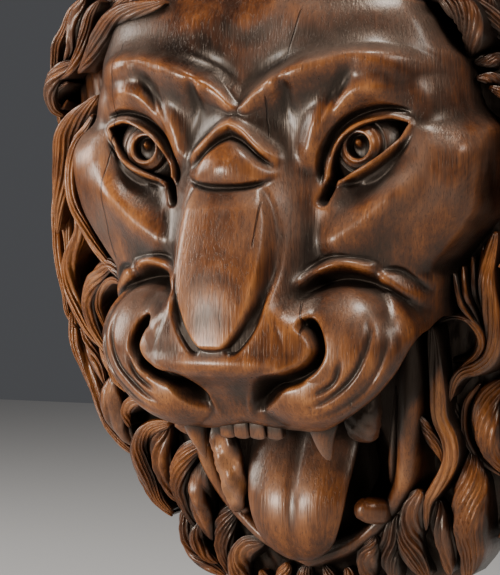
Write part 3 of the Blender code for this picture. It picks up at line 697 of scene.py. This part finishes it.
LEFT_LOCKS = [
    ([(190, 152, 150), (201, 139, 146), (212, 127, 146), (222, 105, 140), (223, 81, 138), (218, 64, 138),
      (206, 46, 140), (192, 29, 144), (174, 12, 150), (154, -2, 160)], 6, 3),
    ([(84, 249, 203), (100, 246, 201), (119, 244, 196), (140, 241, 186), (163, 234, 168), (187, 223, 146),
      (211, 208, 122), (236, 194, 100)], 10, 5),
    ([(153, 5, 162), (172, 11, 150), (188, 5, 138), (208, -7, 122), (221, -24, 110), (222, -43, 102),
      (217, -61, 96), (205, -78, 94)], 9, 4),
    ([(146, -6, 168), (172, -2, 146), (197, -13, 124), (209, -29, 110), (209, -45, 100),
      (203, -62, 96)], 4.5, 2),
    ([(210, -98, 74), (217, -122, 66), (215, -147, 58), (205, -168, 48)], 15, 2),
    ([(151, -142, 76), (164, -168, 70), (163, -196, 60), (155, -220, 50)], 13, 2),
    ([(105, -174, 84), (117, -200, 76), (117, -226, 68), (113, -254, 58)], 14, 2),
    ([(222, -67, 84), (213, -84, 84), (206, -100, 82), (195, -113, 80)], 5.5, 3),
    ([(159, -114, 98), (181, -120, 90), (195, -132, 82), (196, -148, 72)], 7, 4),
    ([(145, -141, 84), (170, -147, 78), (186, -164, 70), (187, -182, 64), (181, -201, 58),
      (175, -220, 50), (164, -233, 42)], 10, 5),
    ([(96, -155, 98), (120, -166, 90), (135, -182, 82), (141, -202, 74), (138, -217, 68), (133, -233, 62),
      (125, -247, 56)], 11, 7),
    ([(148, -226, 50), (148, -248, 46), (143, -265, 42), (129, -278, 38), (111, -291, 34)], 11, 4),
    ([(119, -234, 64), (130, -253, 58), (125, -269, 52), (114, -278, 44)], 8, 4),
    ([(77, -215, 74), (93, -232, 68), (100, -253, 60), (100, -273, 52), (96, -295, 42)], 12, 6),
    ([(49, -248, 74), (71, -255, 68), (84, -271, 60), (84, -295, 50), (74, -312, 36)], 12, 5),
]
RIGHT_LOCKS = [
    ([(206, 149, 118), (221, 135, 114), (231, 118, 110), (237, 96, 106), (236, 74, 102), (229, 51, 102),
      (216, 28, 106), (200, 13, 112)], 8, 4),
    ([(104, 262, 176), (136, 259, 164), (168, 250, 148), (194, 236, 134), (216, 216, 118),
      (238, 194, 100)], 10, 5),
    ([(194, 44, 104), (188, 6, 113), (188, -19, 106), (190, -39, 101), (189, -55, 98), (184, -68, 96),
      (172, -77, 95), (158, -82, 94), (149, -93, 92), (144, -109, 88)], 9, 5),
    ([(144, -36, 112), (158, -31, 116), (170, -33, 114), (178, -43, 108), (180, -55, 102), (174, -66, 98),
      (163, -74, 96), (151, -83, 92)], 4, 2),
    ([(152, -105, 58), (144, -128, 58), (143, -156, 56), (149, -183, 50)], 14, 2),
    ([(123, -201, 64), (123, -225, 60), (126, -249, 52), (127, -273, 44)], 12, 2),
    ([(214, 26, 112), (214, 2, 106), (212, -22, 98), (214, -46, 90), (210, -70, 84),
      (202, -92, 78)], 9, 4),
    ([(175, -44, 92), (170, -62, 86), (155, -73, 80), (138, -70, 76), (130, -57, 72), (135, -44, 70),
      (147, -43, 72)], 6, 2),
    ([(139, -40, 120), (136, -71, 106), (136, -100, 98), (136, -124, 92), (143, -142, 88),
      (144, -158, 86), (137, -175, 82), (127, -190, 80), (118, -204, 78), (114, -229, 70)], 8.5, 4),
    ([(118, -122, 98), (127, -140, 92), (134, -155, 86), (137, -170, 80)], 6, 3),
    ([(191, -89, 66), (177, -105, 74), (173, -125, 76), (174, -147, 70), (181, -164, 62),
      (193, -177, 54)], 13, 6),
    ([(212, -86, 70), (204, -108, 68), (202, -130, 62), (206, -152, 54), (212, -168, 46)], 9, 4),
    ([(167, -93, 72), (155, -111, 74), (152, -134, 72), (156, -152, 66), (166, -166, 60),
      (181, -178, 54)], 4, 2),
    ([(157, -154, 62), (157, -178, 66), (152, -202, 64), (149, -226, 58), (148, -250, 48),
      (139, -277, 36)], 17, 7),
    ([(113, -191, 82), (101, -211, 76), (96, -234, 70), (99, -255, 62), (108, -278, 50)], 14, 6),
    ([(91, -215, 78), (80, -234, 72), (73, -256, 64), (76, -282, 52)], 12, 5),
    ([(66, -236, 78), (54, -257, 70), (51, -285, 56)], 12, 5),
    ([(139, -105, 74), (140, -127, 72), (144, -150, 68), (148, -169, 62)], 9, 4),
    ([(161, 256, 162), (178, 242, 160), (186, 227, 152), (186, 212, 142), (179, 197, 128)], 13, 6),
    ([(194, 252, 134), (198, 235, 126), (201, 220, 114), (205, 207, 100)], 8, 4),
    ([(184, 192, 132), (195, 194, 126), (202, 196, 116), (210, 193, 102)], 7, 4),
    ([(187, 178, 134), (197, 178, 126), (205, 173, 114), (212, 165, 102)], 6, 3),
    ([(164, 8, 128), (168, -14, 128), (171, -25, 121), (177, -36, 112)], 2.6, 1),
    ([(170, 14, 122), (173, -11, 124), (174, -23, 112), (179, -38, 104)], 2.6, 1),
    ([(176, 22, 114), (177, -5, 116), (177, -20, 104), (183, -36, 100)], 2.6, 1),
    ([(183, 32, 106), (183, 5, 112), (183, -13, 104), (186, -33, 98)], 2.6, 1),
]
CROWN_LOCKS = [
    ([(8, 266, 166), (50, 276, 152), (96, 278, 136), (140, 282, 120), (178, 270, 104),
      (212, 258, 92)], 12, 6),
    ([(4, 284, 152), (46, 292, 136), (92, 302, 112), (142, 298, 92), (188, 288, 76),
      (226, 266, 66)], 13, 6),
    ([(0, 302, 126), (44, 314, 104), (94, 314, 84), (146, 310, 66), (196, 294, 54),
      (238, 270, 46)], 13, 5),
    ([(6, 318, 96), (52, 324, 70), (104, 322, 54), (158, 312, 42), (206, 290, 36),
      (246, 262, 34)], 11, 5),
    ([(60, 262, 158), (100, 262, 148), (136, 266, 130), (166, 264, 116), (196, 254, 106)], 8, 4),
    ([(24, 276, 158), (70, 286, 140), (116, 290, 118), (160, 286, 98), (204, 272, 82)], 8, 3),
    ([(30, 300, 136), (78, 308, 108), (126, 306, 88), (174, 298, 66), (214, 280, 56)], 8, 3),
    ([(4, 258, 172), (16, 272, 172), (34, 280, 162), (54, 276, 150)], 9, 4),
]
BEARD_LOCKS = [
    ([(8, -268, 62), (14, -284, 60), (10, -302, 50), (18, -320, 34)], 9, 4),
    ([(30, -270, 62), (38, -288, 58), (30, -306, 46), (36, -318, 32)], 10, 5),
    ([(64, -280, 52), (60, -296, 46), (52, -310, 36), (56, -320, 26)], 8, 4),
    ([(0, -286, 44), (-4, -304, 40), (2, -322, 28)], 10, 5),
]


# Locks are pressed in softly beyond this distance from the middle, and cut off above and below
SIDE_LIMIT, SIDE_GIVE = 286, 13
MANE_SPAN = (-330, 336)


def lock_points(points, width, strands, turn=0.0, rows=46, columns=46):
    """A fluted ribbon carried along the lock's path, with its underside sunk in the bed.

    The width swells from the root and runs out to a point, and the ribbon rolls from side to side.
    Each strand's height falls off as distance from its crest to the power 1.35, so that the grooves
    are sharp. The crests drift across the lock, differ in height, and carry faint marks of the gouge.
    """
    path = evenly(smooth_curve(points, 8), rows)
    ahead = np.gradient(path, axis=0)
    ahead /= np.linalg.norm(ahead, axis=1)[:, None]
    level = np.cross(ahead, [0, 0, 1.0])
    level /= np.linalg.norm(level, axis=1)[:, None]
    upright = np.cross(level, ahead)
    t = np.linspace(0, 1, rows)[:, None]
    roll = 0.4 * np.sin(2 * math.pi * (0.9 * t + turn))
    aside = np.cos(roll) * level + np.sin(roll) * upright
    out = np.cos(roll) * upright - np.sin(roll) * level
    size = width * np.sin(math.pi * (0.012 + 0.983 * t ** 0.85)) ** 0.55
    below = np.linspace(math.pi, 2 * math.pi, 8)[1:-1]
    turns = np.concatenate([np.linspace(0, math.pi, columns - 6), below])[None]
    across = 0.5 * (np.cos(turns) + 1 - 2 * turns / math.pi)
    drift = 0.35 * np.sin(2 * math.pi * (0.7 * t + turn))
    strand = 0.5 * strands * (across + drift) + 0.3 * np.sin(3 * across + 9 * turn)
    number = np.round(strand)
    fall = (2 * np.abs(strand - number)) ** 1.35
    height = 0.8 + 0.2 * np.sin(2.4 * number + 7 * turn) + 0.06 * np.sin(38 * t + 5 * number)
    cut = 0.4 * (1 - (1 - fall) * height) * soft(np.sin(turns) * 5)
    x, z = np.cos(turns) * size * (1 - 0.5 * cut), np.sin(turns) * size * 1.15 * (1 - cut)
    grid = path[:, None] + x[..., None] * aside[:, None] + (z - 0.3 * size)[..., None] * out[:, None]
    bed = mane_bed(np.abs(grid[..., 0]), grid[..., 1])
    under = (np.sin(turns) < -0.15) & (t < 0.97)
    grid[..., 2] = np.where(under, np.minimum(grid[..., 2], bed - 6), grid[..., 2])
    wide = np.abs(grid[..., 0])
    pressed = SIDE_LIMIT + SIDE_GIVE * np.tanh((wide - SIDE_LIMIT) / SIDE_GIVE)
    grid[..., 0] = np.sign(grid[..., 0]) * np.where(wide > SIDE_LIMIT, pressed, wide)
    grid[..., 1] = np.clip(grid[..., 1], *MANE_SPAN)
    grid[..., 2] = np.maximum(grid[..., 2], 1)
    return grid


def locks(rows, side):
    """The listed locks on one side of the middle: -1 is the viewer's left."""
    return [lock_points(np.array(points, float) * [side, 1, 1], width, strands, 0.37 * i)
            for i, (points, width, strands) in enumerate(rows)]


joined_piece("mane_left", locks(OUTER_LOCKS + LEFT_LOCKS, -1))
joined_piece("mane_right", locks(OUTER_LOCKS + RIGHT_LOCKS, 1))
joined_piece("mane_crown", locks(CROWN_LOCKS, -1) + locks(CROWN_LOCKS, 1))
joined_piece("beard", locks(BEARD_LOCKS, -1) + locks(BEARD_LOCKS[:-1], 1))


# The finish, after the photograph: dark and glossy, red-brown on the high places, almost black in the
# hollows with dark wax and painted shade, and grey with dust and a painted sheen where a face looks up and
# far out on the cheeks.
def blurred(layers, reach):
    """Each layer averaged three times over squares of the given reach, which is close to a bell curve."""
    for axis in (1, 2, 1, 2, 1, 2):
        padded = np.concatenate([np.repeat(layers.take([0], axis), reach + 1, axis), layers,
                                 np.repeat(layers.take([-1], axis), reach, axis)], axis)
        total = np.cumsum(padded, axis)
        width = 2 * reach + 1
        ahead = total.take(range(width, total.shape[axis]), axis)
        behind = total.take(range(total.shape[axis] - width), axis)
        layers = (ahead - behind) / width
    return layers


def share_above(shares, cell, height):
    """The share of the places round each cell that stand above the height, read between the layers."""
    level = np.clip(height / LAYER, 0, len(shares) - 1.001)
    below = level.astype(int)
    part = level - below
    x, z = cell[:, 0], cell[:, 2]
    return shares[below, x, z] * (1 - part) + shares[below + 1, x, z] * part


def mesh_positions(piece):
    """The piece's vertices as rows of x, y, z in metres."""
    points = np.empty(len(piece.data.vertices) * 3)
    piece.data.vertices.foreach_get("co", points)
    return points.reshape(-1, 3)


def neighbour_mean(values, edges, count):
    """The mean of each vertex's neighbours along the mesh's edges."""
    total = np.zeros_like(values)
    for here, there in ((0, 1), (1, 0)):
        np.add.at(total, edges[:, here], values[edges[:, there]])
    return total / count.reshape(-1, *[1] * (values.ndim - 1))


# The map of how high the carving stands has square cells and is cut into layers, both in metres
CELL, LAYER = 0.002, 0.004
# The block lies deep between the locks and is given painted shade for it, and the tongue is darker than the
# face
DARKER_PIECES = {"block": 0.3, "tongue": 0.1}
# A vertex this far above its smoothed surroundings, in metres, is a full ridge
RIDGE_HEIGHT = 0.0006
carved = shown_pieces()
low = np.array(cad_low) - 0.02
size = np.ceil((np.array(cad_high) - low + 0.02) / CELL).astype(int)
height_map = np.zeros((size[0], size[2]))
for piece in carved:
    points = mesh_positions(piece)
    cell = ((points - low) / CELL).astype(int)
    np.maximum.at(height_map, (cell[:, 0], cell[:, 2]), -points[:, 1])
levels = np.arange(0, -cad_low[1] + LAYER, LAYER)[:, None, None]
above = (height_map > levels).astype(np.float32)
close, wide = blurred(above, 2), blurred(above, 7)
# Each vertex gets three values. A hollow value for what stands round it: dark wax in its creases, and painted
# shade where the carving stands high round it. A ridge value for how far it stands out itself. A dust value:
# dust and a painted sheen where its face looks up, and a painted sheen far out on a cheek.
for piece in carved:
    points = mesh_positions(piece)
    cell = ((points - low) / CELL).astype(int)
    height = -points[:, 1]
    bend = share_above(close, cell, height + 0.002) + share_above(close, cell, height - 0.002) - 1
    bow = share_above(wide, cell, height + 0.006) + share_above(wide, cell, height - 0.006) - 1
    # Dark wax in the creases
    hollow = 0.9 * np.maximum(bend, 0) + 0.7 * np.maximum(bow, 0)
    # Painted shade where the carving stands 3 cm higher round the vertex
    hollow = hollow + 0.35 * share_above(wide, cell, height + 0.03)
    hollow = hollow + DARKER_PIECES.get(piece.name, 0)
    if piece.name == "tongue":
        # Painted shade on the upper part of the tongue, under the teeth, and a darker tip
        root, tip = soft((points[:, 2] + 0.195) / 0.03), soft((-0.218 - points[:, 2]) / 0.02)
        hollow = hollow + 0.25 * root + 0.1 * tip
    worn = 0.5 - 0.7 * np.clip(bend, -0.5, 0) - 0.5 * np.clip(bow, -0.5, 0)
    edges = np.empty(len(piece.data.edges) * 2, int)
    piece.data.edges.foreach_get("vertices", edges)
    edges = edges.reshape(-1, 2)
    count = np.bincount(edges.ravel(), minlength=len(points)).astype(float)
    normals = np.empty(len(points) * 3)
    piece.data.vertices.foreach_get("normal", normals)
    normals = normals.reshape(-1, 3)
    smooth = points
    for _ in range(5):
        smooth = neighbour_mean(smooth, edges, count)
    ridge = ((points - smooth) * normals).sum(1) / RIDGE_HEIGHT
    for _ in range(2):
        ridge, hollow = neighbour_mean(ridge, edges, count), neighbour_mean(hollow, edges, count)
        worn = neighbour_mean(worn, edges, count)
    # Dust and a painted sheen where a face looks up
    dust = np.clip(normals[:, 2] + 0.25, 0, 1)
    if piece.name.startswith("head"):
        # A painted grey sheen far out on the cheeks
        cheek_sheen = soft((np.abs(points[:, 0]) - 0.115) / 0.06) * soft((points[:, 2] + 0.05) / 0.06)
        dust = dust + 0.8 * cheek_sheen * soft((0.15 - points[:, 2]) / 0.06)
    dust = dust * np.clip(1 - 1.6 * hollow, 0, 1)
    ridge = 0.5 * np.clip(0.5 + 0.5 * ridge, 0, 1) + 0.8 * (worn - 0.5) + 0.25
    on_back = height < 0.0005
    hollow, ridge = np.clip(hollow, 0, 1), np.clip(ridge, 0, 1)
    for name, values, back_value in (("hollow", hollow, 0.25), ("ridge", ridge, 0.4), ("dust", dust, 0)):
        layer = piece.data.attributes.new(name, "FLOAT", "POINT")
        layer.data.foreach_set("value", np.where(on_back, back_value, values).astype(np.float32))


class Wire:
    """A socket in a node tree. Sums on it add Math nodes, and node() adds any other node."""

    def __init__(self, tree, socket=None):
        self.tree, self.socket = tree, socket

    def node(self, kind, settings, inputs, output=0):
        """Adds a node, makes its settings, then gives its sockets their values or links."""
        made = self.tree.nodes.new(kind)
        for name, value in settings.items():
            if name == "stops":
                stops = made.color_ramp.elements
                stops.remove(stops[1])
                stops[0].position, stops[0].color = value[0]
                for place, colour in value[1:]:
                    stops.new(place).color = colour
            else:
                setattr(made, name, value)
        for name, value in inputs.items():
            if isinstance(value, Wire):
                self.tree.links.new(value.socket, made.inputs[name])
            else:
                made.inputs[name].default_value = value
        return Wire(self.tree, made.outputs[output] if made.outputs else None)

    def math(self, operation, *values):
        return self.node("ShaderNodeMath", {"operation": operation}, dict(enumerate(values)))

    def __add__(self, other):
        return self.math("ADD", self, other)

    def __sub__(self, other):
        return self.math("SUBTRACT", self, other)

    def __rsub__(self, other):
        return self.math("SUBTRACT", other, self)

    def __mul__(self, other):
        return self.math("MULTIPLY", self, other)

    def __truediv__(self, other):
        return self.math("DIVIDE", self, other)

    __radd__, __rmul__ = __add__, __mul__

    def between(self, start, end):
        """0 up to start, 1 from end on, and a smooth step between them."""
        settings = {"interpolation_type": "SMOOTHSTEP"}
        limits = {"Value": self, "From Min": start, "From Max": end}
        return self.node("ShaderNodeMapRange", settings, limits)


wood = bpy.data.materials.new("carved_wood")
wood.use_nodes = True
wood.node_tree.nodes.clear()
wire = Wire(wood.node_tree)
place = wire.node("ShaderNodeTexCoord", {}, {}, "Object")


def grain_noise(scale, detail=2.0, rough=0.5):
    """Noise stretched by a different amount along each axis, so that it runs with the planks."""
    stretched = wire.node("ShaderNodeMapping", {"vector_type": "POINT"}, {"Vector": place, "Scale": scale})
    return wire.node("ShaderNodeTexNoise", {}, {
        "Vector": stretched, "Scale": 1.0, "Detail": detail, "Roughness": rough,
    })


def attribute(name):
    """A value kept on the mesh's vertices."""
    return wire.node("ShaderNodeAttribute", {"attribute_name": name}, {}, "Fac")


def glue_line(points, width=0.0011):
    """1 on a thin dark line that runs straight between (x, z) points, given upward in millimetres."""
    bottom, top = points[0][1] / 1000, points[-1][1] / 1000
    stops = [((b / 1000 - bottom) / (top - bottom), (0.5 + a / 400,) * 3 + (1,)) for a, b in points]
    run = wire.node("ShaderNodeValToRGB", {"stops": stops}, {"Fac": (upright - bottom) / (top - bottom)})
    off = wire.math("ABSOLUTE", sideways - (run * 0.4 - 0.2))
    ends = upright.between(bottom, bottom + 0.006) * (1 - upright.between(top - 0.006, top))
    return (1 - off.between(0.25 * width, width)) * ends


hollow, ridge, dust = attribute("hollow"), attribute("ridge"), attribute("dust")
split = wire.node("ShaderNodeSeparateXYZ", {}, {"Vector": place})
sideways, upright = split, Wire(wire.tree, split.socket.node.outputs[2])
lines = glue_line([(-146, 15), (-151, 40), (-150, 90), (-141, 145), (-137, 172), (-131, 217)])
for points in (
    [(39, 188), (48, 219), (53, 241)], [(70, -48), (68, -31), (62, -14)], [(28, 29), (30, 72)],
    [(28, 124), (25, 142), (28, 164)],
):
    lines = lines + glue_line(points)
figure = grain_noise((70, 70, 5), 3.0)
streak = grain_noise((420, 420, 14), 2.0, 0.6)
pore = grain_noise((1150, 1150, 42), 1.0).between(0.58, 0.7)
mottle = grain_noise((17, 17, 12), 4.0, 0.6)
bloom = grain_noise((11, 11, 9), 3.0, 0.6).between(0.42, 0.62)
# Painted shade: the upper forehead is made darker
painted_forehead_shade = upright.between(0.13, 0.22) * 0.2
# The hollow value darkens the colour with dark wax in the creases and painted shade in the deep places
shade = 0.6 - painted_forehead_shade + 0.75 * (ridge - 0.5) - 1.1 * hollow + 1.15 * (mottle - 0.5)
shade = shade + 0.4 * (figure - 0.5) + 0.45 * (streak - 0.5)
# The ramp gives the wood's stain, and the painted shade in the darkest stops
stain_and_shade = wire.node("ShaderNodeValToRGB", {"stops": [
    (0.0, (0.005, 0.002, 0.0012, 1)), (0.2, (0.015, 0.0055, 0.0028, 1)), (0.42, (0.042, 0.013, 0.005, 1)),
    (0.62, (0.105, 0.032, 0.008, 1)), (0.8, (0.2, 0.066, 0.015, 1)), (1.0, (0.34, 0.13, 0.036, 1)),
]}, {"Fac": shade})
# Grey mixed into the colour: dust and a painted sheen where a face looks up, and a painted sheen on the outer
# cheeks
dust_and_sheen_colour = wire.node("ShaderNodeMix", {"data_type": "RGBA"},
                  {0: 0.6 * dust * bloom, 6: stain_and_shade, 7: (0.13, 0.09, 0.07, 1)}, 2)
colour = wire.node("ShaderNodeMix", {"data_type": "RGBA", "blend_type": "MULTIPLY"},
                   {0: wire.math("MAXIMUM", pore * 0.6, lines), 6: dust_and_sheen_colour, 7: (0.2, 0.13, 0.1, 1)}, 2)
rough = 0.31 + 0.25 * hollow + 0.25 * (mottle - 0.5) + 0.15 * (streak - 0.5) + 0.1 * pore
rough = rough + 0.15 * dust * bloom
relief = streak * 0.6 - pore * 0.15 + 0.25 * grain_noise((160, 160, 90), 3.0) - 2 * lines
bump = wire.node("ShaderNodeBump", {}, {"Height": relief, "Strength": 0.75, "Distance": 0.001}, "Normal")
shader = wire.node("ShaderNodeBsdfPrincipled", {}, {
    "Base Color": colour, "Roughness": rough, "Normal": bump, "IOR": 1.5, "Coat Roughness": 0.25,
    "Coat Weight": 0.35 - 0.35 * hollow, "Specular Tint": (1, 0.8, 0.64, 1), "Coat Tint": (1, 0.93, 0.85, 1),
})
wire.node("ShaderNodeOutputMaterial", {}, {"Surface": shader})
for piece in carved:
    piece.data.materials.append(wood)


# The floor under the mask is a plain pale sheet. It only catches the light and the shadow, and isn't
# part of the mask.
floor_mesh = bpy.data.meshes.new("floor")
reach, level = 3.0, -0.42
corners = [(-reach, -reach, level), (reach, -reach, level), (reach, reach, level), (-reach, reach, level)]
floor_mesh.from_pydata(corners, [], [(0, 1, 2, 3)])
floor = bpy.data.objects.new("floor", floor_mesh)
bpy.context.collection.objects.link(floor)
pale = bpy.data.materials.new("pale_floor")
pale.use_nodes = True
pale.node_tree.nodes["Principled BSDF"].inputs["Base Color"].default_value = (0.6, 0.6, 0.6, 1)
pale.node_tree.nodes["Principled BSDF"].inputs["Roughness"].default_value = 0.9
floor_mesh.materials.append(pale)


# Soft studio light: a small key lamp low on the left, a larger one on each side and one overhead, all
# of a slightly warm white.
def facing(place, target):
    """The turn that points an object's -Z from place to target."""
    return (Vector(target) - Vector(place)).to_track_quat("-Z", "Y")


world = bpy.data.worlds.new("studio")
world.use_nodes = True
world.node_tree.nodes["Background"].inputs["Color"].default_value = (0.23, 0.235, 0.25, 1)
world.node_tree.nodes["Background"].inputs["Strength"].default_value = 0.3
bpy.context.scene.world = world
for name, place_of, width, power in (
    ("key", (-1.05, -2.0, -0.12), 0.35, 34), ("left_box", (-2.2, -0.7, 0.6), 0.9, 40),
    ("right_box", (2.1, -1.0, 1.3), 0.7, 22), ("overhead", (0.5, -0.9, 2.1), 0.5, 46),
):
    lamp = bpy.data.lights.new(name, "AREA")
    lamp.shape, lamp.size, lamp.energy, lamp.color = "SQUARE", width, power, (1, 0.95, 0.89)
    light = bpy.data.objects.new(name, lamp)
    light.location = place_of
    light.rotation_mode = "QUATERNION"
    light.rotation_quaternion = facing(place_of, (0, -0.15, 0))
    bpy.context.collection.objects.link(light)


# The camera stands 27 degrees round to the viewer's right and 2 above level, 2.2 m away. Its long lens
# frames the mask as the photograph does, with the crown and the right side cut off.
azimuth, elevation, distance = math.radians(27), math.radians(2), 2.1996
target = Vector((-0.01944, -0.162, -0.00675))
lens = bpy.data.cameras.new("camera")
lens.sensor_fit, lens.sensor_height, lens.sensor_width, lens.lens = "VERTICAL", 36, 36, 153.0
camera = bpy.data.objects.new("camera", lens)
camera.location = target + distance * Vector((
    math.sin(azimuth) * math.cos(elevation), -math.cos(azimuth) * math.cos(elevation), math.sin(elevation)))
camera.rotation_mode = "QUATERNION"
camera.rotation_quaternion = facing(camera.location, target)
bpy.context.collection.objects.link(camera)
bpy.context.scene.camera = camera
